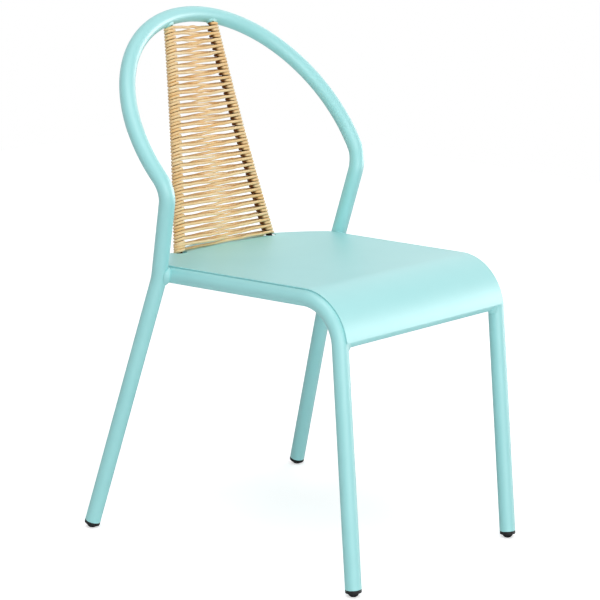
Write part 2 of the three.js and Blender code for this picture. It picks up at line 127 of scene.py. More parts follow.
class ChairFrameSizes(bpy.types.PropertyGroup):
    """Sizes of the bent tube frame"""
    front_foot_depth: length("Front feet", "Place of the front feet along Y", -0.273963)
    tube_diameter: length("Tube", "Outside diameter of the frame tube", 0.025)
    tube_wall: length("Tube wall", "Wall of every tube", 0.0015)
    rim: length("Rim", "Rounding of a tube's cut end", 0.0004)
    gap: length("Seating gap", "Gap between pieces that touch", 0.0003)
    front_foot_spread: length("Front feet apart", "Distance between the front feet", 0.384)
    front_leg_rake: angle("Front leg rake", "Lean of the front legs towards the back", 6.7)
    front_leg_splay: angle("Front leg splay", "Lean of the front legs towards the middle", 0.4)
    front_bend_radius: length("Front bend", "Radius of the bend from leg to rail", 0.068)
    rail_rear_spread: length("Rails apart", "Distance between the rails at the back", 0.391)
    rear_foot_spread: length("Rear feet apart", "Distance between the rear feet", 0.496)
    rear_foot_setback: length("Rear foot setback", "Rear foot behind the bend of the rear leg", 0.107)
    rear_bend_spread: length("Rear bends apart", "Distance between the bends of the rear legs", 0.421)
    rear_bend_depth: length("Rear bend", "Bend of the rear legs behind the front feet", 0.393)
    rear_bend_drop: length("Rear bend drop", "Bend of the rear legs below the rail's axis", 0.004)
    rear_bend_radius: length("Rear bend radius", "Radius of the bend of the rear legs", 0.1)
    elbow_forward: length("Elbow forward", "Elbow in front of the rear bend", 0.031)
    elbow_rise: length("Elbow rise", "Elbow above the seat", 0.112)
    elbow_radius: length("Elbow radius", "Radius of the elbow below the hoop", 0.05)
    hoop_radius: length("Hoop radius", "Radius of the hoop's axis", 0.234)
    hoop_centre_rise: length("Hoop centre", "Hoop's centre above the elbows, in the hoop's plane", 0.065)
    hoop_recline: angle("Hoop recline", "Lean of the hoop from the vertical", 38.3)
    cross_tube_diameter: length("Cross tube", "Diameter of the cross tube and the seat bow", 0.016)
    cross_tube_drop: length("Cross tube drop", "Cross tube's axis below the apron's edge", 0.003)
    weld_leg: length("Weld", "Reach of a weld bead along each tube", 0.008)
    tube_sides: whole("Tube sides", "Faces round a frame tube", 56)
    slim_tube_sides: whole("Slim tube sides", "Faces round a slim tube", 36)


class ChairSeatSizes(bpy.types.PropertyGroup):
    """Sizes of the seat panel"""
    height: length("Seat height", "Top of the panel over the front bend", 0.45)
    pitch: angle("Seat pitch", "Fall of the seat towards the back", 2.1)
    thickness: length("Sheet", "Thickness of the panel's sheet", 0.002)
    side_lap: length("Side lap", "Panel's edge outside the rail's axis", 0.0015)
    apron_drop: length("Apron", "Apron's lower edge below the seat", 0.072)
    corner_lap: length("Corner lap", "Panel's rear corner behind the rear bend", 0.004)
    back_bulge: length("Back bulge", "Panel's back edge behind its rear corners", 0.089)
    bow_inset: length("Bow inset", "Seat bow's axis inside the panel's back edge", 0.0112)
    notch_radius: length("Notch", "Half the width of the notch round a rod", 0.012)
    edge_rounding: length("Edge rounding", "Rounding of the sheet's edges", 0.0006)


class ChairSplatSizes(bpy.types.PropertyGroup):
    """Sizes of the splat's rods and winding"""
    rod_diameter: length("Rod", "Diameter of a rod", 0.010)
    foot_spread: length("Rod feet apart", "Distance between the rods at the seat", 0.212)
    top_spread: length("Rod tops apart", "Distance between the rods at the hoop", 0.095)
    top_forward: length("Rod tops forward", "Rods' tops in front of the hoop's axis", 0.005)
    inward_bow: length("Inward bow", "Bow of the rods towards the middle", 0.0036)
    cord_diameter: length("Cord", "Diameter of the cord", 0.0046)
    cord_gap: length("Cord gap", "Gap between the cord and a rod", 0.00015)
    loops: whole("Loops", "Figures of eight round both rods", 33)
    foot_rise: length("Foot rise", "First wrap above the panel", 0.0003)
    head_drop: length("Head drop", "Last wrap below the hoop's axis", 0.0139)
    tail: length("Tail", "Cord's first end beside its rod", 0.02)
    wander: length("Wander", "How far the strands stray from straight lines", 0.0005)
    cord_sides: whole("Cord sides", "Faces round the cord", 12)
    rod_sides: whole("Rod sides", "Faces round a rod", 24)


class ChairFootSizes(bpy.types.PropertyGroup):
    """Sizes of the foot plugs"""
    stem_length: length("Stem", "Stem inside the tube", 0.018)
    stem_chamfer: length("Stem chamfer", "Chamfer of the stem's top", 0.0015)
    flange_thickness: length("Flange", "Thickness of the flange", 0.005)
    flange_diameter: length("Flange diameter", "Diameter of the flange", 0.025)
    flange_rounding: length("Flange rounding", "Rounding of the flange's edges", 0.0008)
    dome_drop: length("Dome", "Dome below the flange", 0.006)
    dome_diameter: length("Dome diameter", "Diameter of the dome", 0.017)
    dome_sink: length("Dome sink", "Part of the dome that is flattened away", 0.001)
    sides: whole("Plug sides", "Faces round a plug", 64)


class ChairFinish(bpy.types.PropertyGroup):
    """Colours of the finishes"""
    coat: colour("Powder coat", "Turquoise powder coat", (0.35, 0.765, 0.775))
    coat_deep: colour("Powder coat, deep", "Deeper tone of the powder coat", (0.325, 0.74, 0.75))
    cord: colour("Cord", "Straw tone of the cord", (0.88, 0.47, 0.125))
    cord_pale: colour("Cord, pale", "Palest streaks of the cord", (1.0, 0.86, 0.57))
    cord_dark: colour("Cord, dark", "Brown streaks of the cord", (0.33, 0.12, 0.02))
    # Painted shade: a near-black brown laid on the cord where it lies on a rod's inner side
    cord_painted_shade: colour("Cord, hidden", "Cord in the dark beside a rod", (0.13, 0.042, 0.002))
    rod: colour("Rod", "Brown paint of the rods", (0.012, 0.005, 0.002))
    rod_worn: colour("Rod, worn", "Paler brown where the paint is worn", (0.03, 0.014, 0.006))
    plug: colour("Foot plug", "Black plastic of the foot plugs", (0.008, 0.008, 0.009))
    plug_scuffed: colour("Foot plug, scuffed", "Greyer black where a plug is scuffed", (0.03, 0.03, 0.032))


class ChairStage(bpy.types.PropertyGroup):
    """Camera, lamps and floor"""
    camera_place: FloatVectorProperty(name="Camera", description="Place of the camera", subtype="XYZ",
                                      unit="LENGTH", default=(-2.68732, -2.31190, 1.19940))
    azimuth: angle("Azimuth", "Camera's turn round the chair", -49.13)
    elevation: angle("Elevation", "Camera's height above the horizon", 13.15)
    roll: angle("Roll", "Camera's roll", 1.63)
    focal_length: FloatProperty(name="Lens", description="Focal length", default=138.503, unit="CAMERA")
    aim_height: length("Aim", "Height that the lamps point at", 0.4)
    floor_size: length("Floor", "Width of the floor", 6.0)
    floor_white: FloatProperty(name="Floor white", description="Share of the light that the floor gives back",
                               default=0.9)
    floor_glow: FloatProperty(name="Floor glow", description="Light that only the camera sees on the floor",
                              default=0.6)
    lamp_reach: length("Lamp reach", "Distance of the lamps from the chair", 5.0)
    lamp_size: length("Lamp size", "Width of the lamps", 4.4)
    lamp_height: length("Lamp height", "Height of the lamps that stand on the floor", 1.7)
    ambient: FloatProperty(name="Ambient", description="Light from all round", default=0.24)
    top_power: watts("Top lamp", "Power of the lamp above", 132.0)
    front_power: watts("Front lamp", "Power of the lamp beside the camera", 105.0)
    back_power: watts("Back lamp", "Power of the lamp behind at the right", 55.0)
    sheen_power: watts("Sheen lamp", "Power of the lamp at the right that shows only as a gloss", 175.0)


def unit(vectors):
    """Each vector divided by its own length."""
    return vectors / np.linalg.norm(vectors, axis=-1, keepdims=True)


def point(x, y, z):
    """A place as an array."""
    return np.array([x, y, z], float)


def run_along(path):
    """Length of a path from its start to each of its points."""
    return np.concatenate([[0], np.cumsum(np.linalg.norm(np.diff(path, axis=0), axis=1))])


def stretch(start, end, spacing):
    """Evenly spaced points from start to end, both included, no further apart than spacing."""
    steps = max(1, int(np.ceil(np.linalg.norm(end - start) / spacing)))
    return start + np.linspace(0, 1, steps + 1)[:, None] * (end - start)


def corner_arc(before, corner, after, radius, step=np.radians(2.5)):
    """Arc of the radius that touches both sides of a corner: centre - r cos(a) inward + r sin(a) along."""
    into = unit(corner - before)
    out = unit(after - corner)
    turn = np.arccos(np.clip(into @ out, -1, 1))
    start = corner - into * radius * np.tan(turn / 2)
    inward = unit(out - (out @ into) * into)
    swing = np.linspace(0, turn, max(3, int(np.ceil(turn / step)) + 1))[:, None]
    return start + inward * radius * (1 - np.cos(swing)) + into * radius * np.sin(swing)


def chain(*runs):
    """Runs of points joined end to end, shared end points kept once."""
    parts = [runs[0]] + [run[1:] for run in runs[1:]]
    return np.concatenate(parts)


def section_axes(path, reference):
    """Two directions square to the path at each point: the reference less its share along the path,
    and the cross product of the path's direction with that."""
    along = unit(np.gradient(path, axis=0))
    first = unit(reference - (along @ reference)[:, None] * along)
    return along, first, np.cross(along, first)


def rings(centres, first, second, radii, sides):
    """Grid of points, one ring a centre: centre + r (cos a first + sin a second)."""
    turn = np.linspace(0, 2 * np.pi, sides, endpoint=False)
    spread = np.cos(turn)[None, :, None] * first[:, None] + np.sin(turn)[None, :, None] * second[:, None]
    return centres[:, None] + np.asarray(radii)[:, None, None] * spread


def grid_faces(rows, columns, wrap_rows, wrap_columns):
    """Corner numbers of the quads of a grid, joined round where it closes on itself."""
    i = np.arange(rows if wrap_rows else rows - 1)[:, None]
    j = np.arange(columns if wrap_columns else columns - 1)[None, :]
    corners = [(a % rows) * columns + b % columns for a, b in ((i, j), (i, j + 1), (i + 1, j + 1), (i + 1, j))]
    return np.stack(corners, axis=-1).reshape(-1, 4)


def signed_volume(points, quads):
    """Volume inside quads whose corners run the same way round, below zero if they face inwards."""
    a, b, c, d = (points[quads[:, k]] for k in range(4))
    return (np.einsum("ij,ij->i", a, np.cross(b, c)) + np.einsum("ij,ij->i", a, np.cross(c, d))).sum() / 6


def new_object(name, points, quads, caps=(), normals=None):
    """A smooth shaded mesh object at the origin; caps are rings of corner numbers closed by one face each, and normals
    are those of the true surface where the mesh is too coarse to give them."""
    if signed_volume(points, quads) < 0:
        quads = quads[:, ::-1]
        caps = [cap[::-1] for cap in caps]
    faces = [*quads.tolist(), *[list(map(int, cap)) for cap in caps]]
    mesh = bpy.data.meshes.new(name)
    mesh.from_pydata(points.tolist(), [], faces)
    mesh.polygons.foreach_set("use_smooth", np.ones(len(faces), bool))
    mesh.update()
    if mesh.validate():
        raise RuntimeError(f"{name} has bad faces")
    if normals is not None:
        mesh.normals_split_custom_set_from_vertices(normals.tolist())
    piece = bpy.data.objects.new(name, mesh)
    bpy.context.scene.collection.objects.link(piece)
    return piece


def finish_piece(piece, material, slot, *nodes):
    """Gives a piece its material and its body, and hides the nodes that it stands for. The slot is not used."""
    piece.data.materials.append(material)
    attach(piece, BODY)
    if nodes:
        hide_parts(*nodes)


def rim_stations(rim, outer, steps=3):
    """Quarter round of a rim as (distance from the end, cut off the radius), from the skin to the end face. A station
    just before it keeps the rounding's shade off the long wall."""
    swing = np.linspace(0, np.pi / 2, steps + 1)
    pairs = np.stack([rim * (1 - np.sin(swing)), rim * (1 - np.cos(swing))], axis=1)
    pairs = np.concatenate([[[2 * rim, 0]], pairs])
    return pairs if outer else pairs[::-1]


def tube_skin(path, reference, radius, wall, rim, sides):
    """Closed wall of a tube. Rings run along the outside, over the rounded rim, back through the bore and over the
    other rim: centre + r (cos a first + sin a second)."""
    along, first, second = section_axes(path, reference)
    outer, inner = rim_stations(rim, True), rim_stations(rim, False)
    last = len(path) - 1
    index = np.concatenate([
        np.zeros(len(outer), int), np.arange(1, last), np.full(len(outer) + len(inner), last),
        np.arange(last - 1, 0, -1), np.zeros(len(inner), int)])
    shift = np.concatenate([
        outer[::-1, 0], np.zeros(last - 1), -outer[:, 0], -inner[:, 0], np.zeros(last - 1), inner[::-1, 0]])
    bore = radius - wall
    radii = np.concatenate([
        radius - outer[::-1, 1], np.full(last - 1, radius), radius - outer[:, 1],
        bore + inner[:, 1], np.full(last - 1, bore), bore + inner[::-1, 1]])
    centres = path[index] + along[index] * shift[:, None]
    grid = rings(centres, first[index], second[index], radii, sides)
    return grid.reshape(-1, 3), grid_faces(len(centres), sides, True, True)


def bar_skin(path, reference, radii, sides):
    """Closed bar or plug: one ring a point of the path, each with its own radius, and a flat face at each end."""
    _, first, second = section_axes(path, reference)
    grid = rings(path, first, second, radii, sides)
    count = len(path) * sides
    caps = [np.arange(sides)[::-1], np.arange(count - sides, count)]
    return grid.reshape(-1, 3), grid_faces(len(path), sides, False, True), caps


class ChairLines:
    """Axes of every tube and rod, worked out from the sizes as the frame's own source does."""

    def __init__(self, scene):
        self.frame = scene.chair_frame
        self.seat = scene.chair_seat
        self.splat = scene.chair_splat
        self.foot = scene.chair_foot
        f, seat = self.frame, self.seat
        self.radius = f.tube_diameter / 2
        self.slim_radius = f.cross_tube_diameter / 2
        self.tan_pitch = np.tan(seat.pitch)
        top_to_axis = seat.thickness + f.gap + self.radius
        corner_height = seat.height - top_to_axis / np.cos(seat.pitch)
        self.corner = point(f.front_foot_spread / 2 - corner_height * np.tan(f.front_leg_splay),
                            corner_height * np.tan(f.front_leg_rake), corner_height)
        self.apron_height = seat.height - seat.apron_drop
        self.foot_tip = self.foot.flange_thickness + self.foot.dome_drop + f.gap
        self.panel_rear_half = f.rail_rear_spread / 2 + seat.side_lap
        bulge = seat.back_bulge
        self.back_radius = (self.panel_rear_half ** 2 + bulge ** 2) / (2 * bulge)
        self.back_centre = f.rear_bend_depth + seat.corner_lap + bulge - self.back_radius
        self.bow_radius = self.back_radius - seat.bow_inset
        self.hoop_up = point(0, np.sin(f.hoop_recline), np.cos(f.hoop_recline))
        self.hoop_face = point(0, np.cos(f.hoop_recline), -np.sin(f.hoop_recline))
        elbow_y = f.rear_bend_depth - f.elbow_forward
        self.elbow = point(np.sqrt(f.hoop_radius ** 2 - f.hoop_centre_rise ** 2), elbow_y, seat.height + f.elbow_rise)
        self.hoop_centre = self.elbow * (0, 1, 1) + self.hoop_up * f.hoop_centre_rise
        self.rod_foot_depth = self.back_centre + np.sqrt(self.bow_radius ** 2 - (self.splat.foot_spread / 2) ** 2)
        self.rod_length = np.linalg.norm(self.rod_point(1, 1.0) - self.rod_point(1, 0.0))
        rise = self.rod_point(1, 1.0) + self.rod_point(-1, 1.0) - self.rod_point(1, 0.0) - self.rod_point(-1, 0.0)
        self.splat_up = unit(rise)
        self.splat_back = point(0, self.splat_up[2], -self.splat_up[1])

    def placed(self, points):
        """Points moved so that the front feet are at their depth in the frame."""
        return points + point(0, self.frame.front_foot_depth, 0)

    def panel_top(self, depth):
        """Height of the panel's top face, falling steadily towards the back."""
        return self.seat.height - (depth - self.corner[1]) * self.tan_pitch

    def rail_height(self, depth):
        """Height of a rail's axis."""
        return self.corner[2] - (depth - self.corner[1]) * self.tan_pitch

    def rail_half(self, depth):
        """Rail's axis from the middle plane, drawn straight from the front bend to the rear bend."""
        share = (depth - self.corner[1]) / (self.frame.rear_bend_depth - self.corner[1])
        return self.corner[0] + share * (self.frame.rail_rear_spread / 2 - self.corner[0])

    def front_foot(self, side):
        """Where a front leg's axis meets the floor."""
        return point(side * self.frame.front_foot_spread / 2, 0, 0)

    def rear_foot(self, side):
        """Where a rear leg's axis meets the floor."""
        depth = self.frame.rear_bend_depth + self.frame.rear_foot_setback
        return point(side * self.frame.rear_foot_spread / 2, depth, 0)

    def rear_bend(self, side):
        """Where the axes of a rear leg and of the upright over it meet."""
        f = self.frame
        height = self.rail_height(f.rear_bend_depth) - f.rear_bend_drop
        return point(side * f.rear_bend_spread / 2, f.rear_bend_depth, height)

    def tube_end(self, foot, above):
        """Where a leg's tube ends over its foot plug."""
        return foot + unit(above - foot) * self.foot_tip

    def leg_and_rail(self, side, spacing=RING_SPACING):
        """Up from the foot, round the front bend and straight back under the panel."""
        corner = self.corner * (side, 1, 1)
        depth = self.frame.rear_bend_depth + self.radius
        end = point(side * self.rail_half(depth), depth, self.rail_height(depth))
        start = self.tube_end(self.front_foot(side), corner)
        bend = corner_arc(start, corner, end, self.frame.front_bend_radius)
        return chain(stretch(start, bend[0], spacing), bend, stretch(bend[-1], end, spacing))

    def hoop_point(self, swing):
        """Circle in the leaning plane: centre + r (sin a across + cos a up the plane)."""
        swing = np.asarray(swing, float)[..., None]
        return self.hoop_centre + self.frame.hoop_radius * (np.sin(swing) * ACROSS + np.cos(swing) * self.hoop_up)

    def hoop_way(self, swing):
        """Direction of travel along the hoop towards the sitter's right."""
        return -np.cos(swing) * ACROSS + np.sin(swing) * self.hoop_up

    def hoop_and_legs(self, spacing=RING_SPACING, step=BEND_STEP, elbow_points=28):
        """Rear leg, rear bend, upright, elbow as a cubic curve, half the hoop, and the same mirrored."""
        f = self.frame
        foot, bend = self.rear_foot(1), self.rear_bend(1)
        upright = unit(self.elbow - bend)
        elbow_swing = np.pi / 2 + np.arcsin(f.hoop_centre_rise / f.hoop_radius)
        turn = np.arccos(np.clip(upright @ self.hoop_way(elbow_swing), -1, 1))
        reach = f.elbow_radius * np.tan(turn / 2)
        handle = f.elbow_radius * np.tan(turn / 4) * 4 / 3
        swing = elbow_swing - reach / f.hoop_radius
        p0 = self.elbow - upright * reach
        p3 = self.hoop_point(swing)
        p1 = p0 + upright * handle
        p2 = p3 - self.hoop_way(swing) * handle
        t = np.linspace(0, 1, elbow_points)[:, None]
        elbow = (1 - t) ** 3 * p0 + 3 * t * (1 - t) ** 2 * p1 + 3 * t ** 2 * (1 - t) * p2 + t ** 3 * p3
        start = self.tube_end(foot, bend)
        arc = corner_arc(start, bend, p0, f.rear_bend_radius, step)
        top = self.hoop_point(np.linspace(swing, 0, int(np.ceil(swing / step)) + 1))
        half = chain(stretch(start, arc[0], spacing), arc, stretch(arc[-1], p0, spacing), elbow, top)
        return chain(half, half[::-1] * (-1, 1, 1))

    def bow(self, step=BEND_STEP):
        """Arc parallel to the panel's back edge, lying under the panel, from rail to rail."""
        end = np.arcsin(self.frame.rail_rear_spread / 2 / self.bow_radius)
        swing = np.linspace(end, -end, int(np.ceil(2 * end / step)) + 1)
        depth = self.back_centre + self.bow_radius * np.cos(swing)
        drop = (self.seat.thickness + self.frame.gap + self.slim_radius) / np.cos(self.seat.pitch)
        return np.stack([self.bow_radius * np.sin(swing), depth, self.panel_top(depth) - drop], axis=1)

    def cross_tube(self, spacing=RING_SPACING):
        """Straight between the front legs, a little below the apron's edge."""
        height = self.apron_height - self.frame.cross_tube_drop
        depth = height * np.tan(self.frame.front_leg_rake)
        half = self.frame.front_foot_spread / 2 - height * np.tan(self.frame.front_leg_splay)
        return stretch(point(half, depth, height), point(-half, depth, height), spacing)

    def rod_point(self, side, share):
        """A rod's axis: straight from the panel's notch into the hoop, less a parabola for its bow inwards."""
        s = self.splat
        share = np.asarray(share, float)[..., None]
        foot = point(s.foot_spread / 2, self.rod_foot_depth, self.panel_top(self.rod_foot_depth) + self.frame.gap)
        top = self.hoop_point(np.arcsin(s.top_spread / 2 / self.frame.hoop_radius)) - point(0, s.top_forward, 0)
        place = foot + share * (top - foot) - 4 * share * (1 - share) * s.inward_bow * ACROSS
        return place * (side, 1, 1)

    def rod(self, side, steps=40):
        """A rod from the bow under the panel to the hoop's axis."""
        path = self.rod_point(side, np.linspace(0, 1, steps + 1))
        down = unit(path[0] - path[1])
        return np.concatenate([path[:1] + down * (self.seat.thickness + self.slim_radius), path])


def wrap(lines, side, rise, pitch, wrap_radius, start=0.0, end=1.0, extra_turns=0, steps_per_turn=30):
    """One wrap of a rod, or the share of it from start to end: the rod's axis + r (cos a outward + sin a back), from
    the rod's inner back round the outside, once more, and off its inner front. It climbs as WRAP_CLIMB says, mostly
    round the outside. One with extra turns climbs steadily by one pitch. A wrap that starts at the panel comes in
    over it and settles into the notch in a quarter turn."""
    turns = WRAP_TURNS + extra_turns
    share = np.linspace(start, end, round(steps_per_turn * turns * (end - start)) + 1)
    climb = share if extra_turns else np.interp(share, np.linspace(0, 1, len(WRAP_CLIMB)), WRAP_CLIMB)
    settling = np.clip(1 - 4 * turns * (share - start), 0, 1) ** 2
    height = np.maximum(rise + climb * pitch, lines.splat.cord_diameter / 2 * settling)
    centre = lines.rod_point(side, height / lines.rod_length)
    lean = np.arcsin(wrap_radius / np.abs(centre[:, 0]))
    swing = np.pi / 2 + lean - (2 * np.pi * turns + 2 * lean) * share
    outward = side * wrap_radius * np.cos(swing)[:, None] * ACROSS
    return centre + outward + wrap_radius * np.sin(swing)[:, None] * lines.splat_back


def strayed(path, lines):
    """The cord's path moved up and down a little, by random heights at even spacings joined smoothly. It strays most
    between the rods: with k for STRAY_AT_ROD, the height is scaled by k + (1 - k) cos(pi/2 x / half width)."""
    run = run_along(path)
    knots = np.arange(0, run[-1] + 3 * STRAY_SPACING, STRAY_SPACING)
    height = np.random.default_rng(STRAY_SEED).normal(0, lines.splat.wander, len(knots))
    place = run / STRAY_SPACING
    share = place % 1
    ease = share * share * (3 - 2 * share)
    first = place.astype(int)
    height = height[first] * (1 - ease) + height[first + 1] * ease
    foot, top = lines.splat.foot_spread / 2, lines.splat.top_spread / 2
    climb = (path[:, 2] - lines.seat.height) / (lines.rod_point(1, 1.0)[2] - lines.seat.height)
    half = foot + (top - foot) * np.clip(climb, 0, 1)
    free = np.cos(np.pi / 2 * np.clip(np.abs(path[:, 0]) / half, 0, 1))
    return path + (height * (STRAY_AT_ROD + (1 - STRAY_AT_ROD) * free))[:, None] * lines.splat_up


def winding_path(lines, strand_steps=16):
    """The cord from the panel to the hoop: half round the left rod, across, round the right rod, across, round the
    left rod, loop after loop, once more round the right rod and up to the left rod's top."""
    s = lines.splat
    wrap_radius = s.rod_diameter / 2 + s.cord_diameter / 2 + s.cord_gap
    pitch = (lines.rod_length - s.foot_rise - s.head_drop) / (s.loops + 0.5 + WRAP_CLIMB[3])
    first = wrap(lines, 1, s.foot_rise - 0.5 * pitch, pitch, wrap_radius, FIRST_WRAP_START, 1)
    tail = lines.rod_point(1, 0.0) - s.tail * ACROSS
    tail[2] = lines.panel_top(tail[1]) + s.cord_diameter / 2
    runs = [stretch(tail, first[0], s.cord_diameter), first]
    for loop in range(s.loops + 1):
        rise = s.foot_rise + loop * pitch
        runs.append(wrap(lines, -1, rise, pitch, wrap_radius, extra_turns=int(loop == 0)))
        runs.append(wrap(lines, 1, rise + 0.5 * pitch, pitch, wrap_radius, 0, 1 if loop < s.loops else 0.5))
    share = np.arange(1, strand_steps)[:, None] / strand_steps
    parts = [runs[0][:-1], runs[1]]
    for before, after in zip(runs[1:], runs[2:]):
        parts += [before[-1] + share * (after[0] - before[-1]), after]
    return strayed(np.concatenate(parts), lines)


def painted_shade_share(path, lines):
    """How much painted shade each point of the cord gets between its rod and the strands: rising from 0 to 1 where it
    is inside the rod's axis by the shares of the wrap's radius where the painted shade starts and where it is full,
    and only where it lies on the rod."""
    foot, top = lines.rod_point(1, np.array([0.0, 1.0]))[:, 2]
    rod = lines.rod_point(1, np.clip((path[:, 2] - foot) / (top - foot), 0, 1))
    inward = rod[:, 0] - np.abs(path[:, 0])
    behind = (path - rod) @ lines.splat_back
    wrap_radius = (lines.splat.rod_diameter + lines.splat.cord_diameter) / 2
    on_rod = np.hypot(inward, behind) < ON_ROD * wrap_radius
    return np.where(on_rod, np.clip((inward / wrap_radius - PAINTED_SHADE_FROM) / (PAINTED_SHADE_FULL - PAINTED_SHADE_FROM), 0, 1), 0.0)


def panel_edge(lines, spacing=0.0045, notch_steps=14, wall_steps=3):
    """Points of the panel's back edge from the sitter's left to right, as x and depth: an arc of the back radius with
    two notches, each with straight walls and a half round bottom. It lies in by the edge's rounding."""
    seat = lines.seat
    r = lines.back_radius - seat.edge_rounding
    half = lines.panel_rear_half - seat.edge_rounding
    notch = seat.notch_radius + seat.edge_rounding
    place, bottom = lines.splat.foot_spread / 2, lines.rod_foot_depth

    def arc(start, end):
        x = np.linspace(start, end, int(np.ceil((start - end) / spacing)) + 1)
        return np.stack([x, lines.back_centre + np.sqrt(r ** 2 - x ** 2)], axis=1)

    def notch_round(middle):
        swing = np.linspace(0, np.pi, notch_steps + 1)
        return np.stack([middle + notch * np.cos(swing), bottom - notch * np.sin(swing)], axis=1)

    def wall(start, end):
        return (start + np.linspace(0, 1, wall_steps + 1)[:, None] * (end - start))[1:-1]

    runs = [arc(half, place + notch), notch_round(place), arc(place - notch, notch - place), notch_round(-place),
            arc(-place - notch, -half)]
    joined = [runs[0]]
    for run in runs[1:]:
        joined += [wall(joined[-1][-1], run[0]), run]
    return np.concatenate(joined)


def panel_profile(lines, step=BEND_STEP, spacing=0.02):
    """Middle of the sheet and its normal seen from the side, as depth and height: round the front bend,
    centre + r (cos a forward + sin a up), then straight back."""
    f, seat = lines.frame, lines.seat
    up = np.array([np.sin(f.front_leg_rake), np.cos(f.front_leg_rake)])
    back = np.array([np.cos(seat.pitch), -np.sin(seat.pitch)])
    forward = np.array([-up[1], up[0]])
    turn = np.arccos(up @ back)
    centre = lines.corner[1:] - up * f.front_bend_radius * np.tan(turn / 2) - forward * f.front_bend_radius
    radius = f.front_bend_radius + lines.radius + f.gap + seat.thickness / 2
    first = np.arcsin((lines.apron_height + seat.edge_rounding - centre[1]) / radius) - f.front_leg_rake
    swing = np.linspace(first, turn, int(np.ceil((turn - first) / step)) + 1)[:, None]
    normal = forward * np.cos(swing) + up * np.sin(swing)
    bend = centre + radius * normal
    margin = f.rear_bend_depth - 2 * seat.notch_radius
    straight = stretch(bend[-1], bend[-1] + back * (margin - bend[-1][0]) / back[0], spacing)
    return chain(bend, straight), np.concatenate([normal, np.repeat(normal[-1:], len(straight) - 1, 0)])


def panel_grid(lines, margin_rows=12, evening_share=0.12):
    """Middle sheet of the panel and its normals, rows from the apron's edge to the back edge. Each column ends in one
    point of the back edge: it runs at that point's share of the width, evened out a little, and the last rows draw
    it out to its point."""
    edge = panel_edge(lines)
    profile, normal = panel_profile(lines)
    seat, f = lines.seat, lines.frame
    run = run_along(edge)
    spread = edge[:, 0] / edge[0, 0]
    spread = spread + (1 - 2 * run / run[-1] - spread) * evening_share * (1 - spread ** 2)
    front_half = lines.corner[0] + seat.side_lap
    share = np.clip((profile[:, 0] - lines.corner[1]) / (f.rear_bend_depth - lines.corner[1]), 0, 1)
    half = front_half + share * (lines.panel_rear_half - front_half) - seat.edge_rounding
    across = half[:, None] * spread
    main = np.stack([across, np.broadcast_to(profile[:, :1], across.shape),
                     np.broadcast_to(profile[:, 1:], across.shape)], axis=-1)
    sink = seat.thickness / 2 / np.cos(seat.pitch)
    rim = np.stack([edge[:, 0], edge[:, 1], lines.panel_top(edge[:, 1]) - sink], axis=1)
    step = (np.arange(1, margin_rows + 1) / margin_rows)[:, None, None]
    middle = np.concatenate([main, main[-1] + step * (rim - main[-1])])
    normal = np.concatenate([normal, np.repeat(normal[-1:], margin_rows, 0)])
    normals = np.broadcast_to(np.insert(normal, 0, 0.0, axis=1)[:, None], middle.shape)
    return middle, normals


def sheet_skin(middle, normals, half, rounding, steps=4):
    """Closed skin of a sheet: the middle grid moved out by half the thickness to each side along its normals, and a
    rim round its edge, edge + e outward + h normal, with e and h on two quarter circles."""
    rows, columns = middle.shape[:2]
    index = np.arange(rows * columns).reshape(rows, columns)
    loop = np.concatenate([index[0], index[1:, -1], index[-1, -2::-1], index[-2:0:-1, 0]])
    flat, up = middle.reshape(-1, 3), normals.reshape(-1, 3)
    edge, edge_up = flat[loop], up[loop]
    before = np.cross(edge_up, unit(edge - np.roll(edge, 1, axis=0)))
    after = np.roll(before, -1, axis=0)
    outward = (before + after) / (1 + (before * after).sum(axis=1, keepdims=True))
    swing = np.linspace(np.pi / 2, 0, steps + 1)
    quarter = np.stack([rounding * np.cos(swing), half - rounding + rounding * np.sin(swing)], axis=1)
    tilt = np.stack([np.cos(swing), np.sin(swing)], axis=1)
    profile = np.concatenate([quarter, quarter[::-1] * (1, -1)])[1:-1, None]
    tilt = np.concatenate([tilt, tilt[::-1] * (1, -1)])[1:-1, None]
    rim = edge + profile[..., :1] * outward + profile[..., 1:] * edge_up
    rim_normals = tilt[..., :1] * unit(outward) + tilt[..., 1:] * edge_up
    points = np.concatenate([flat + up * half, flat - up * half, rim.reshape(-1, 3)])
    skin_normals = np.concatenate([up, -up, rim_normals.reshape(-1, 3)])
    count = len(flat)
    between = np.arange(len(profile) * len(loop)).reshape(len(profile), len(loop)) + 2 * count
    ring = np.concatenate([loop[None], between, loop[None] + count])
    following = np.roll(ring, -1, axis=1)
    rim_faces = np.stack([following[:-1], ring[:-1], ring[1:], following[1:]], axis=-1).reshape(-1, 4)
    faces = grid_faces(rows, columns, False, False)
    return points, np.concatenate([faces, faces[:, ::-1] + count, rim_faces]), (), skin_normals


def distance_to_path(points, path):
    """Distance of each point from the nearest stretch of a path, and that nearest place."""
    start, span = path[:-1], np.diff(path, axis=0)
    offset = points[..., None, :] - start
    share = np.clip((offset * span).sum(-1) / (span * span).sum(-1), 0, 1)
    nearest = start + share[..., None] * span
    away = np.linalg.norm(points[..., None, :] - nearest, axis=-1)
    best = away.argmin(axis=-1)
    place = np.take_along_axis(nearest, best[..., None, None], axis=-2)[..., 0, :]
    return np.take_along_axis(away, best[..., None], axis=-1)[..., 0], place


def onto_tube(points, path, radius):
    """Points moved straight out from a tube's axis, or in, until they lie on its skin."""
    _, place = distance_to_path(points, path)
    return place + unit(points - place) * radius


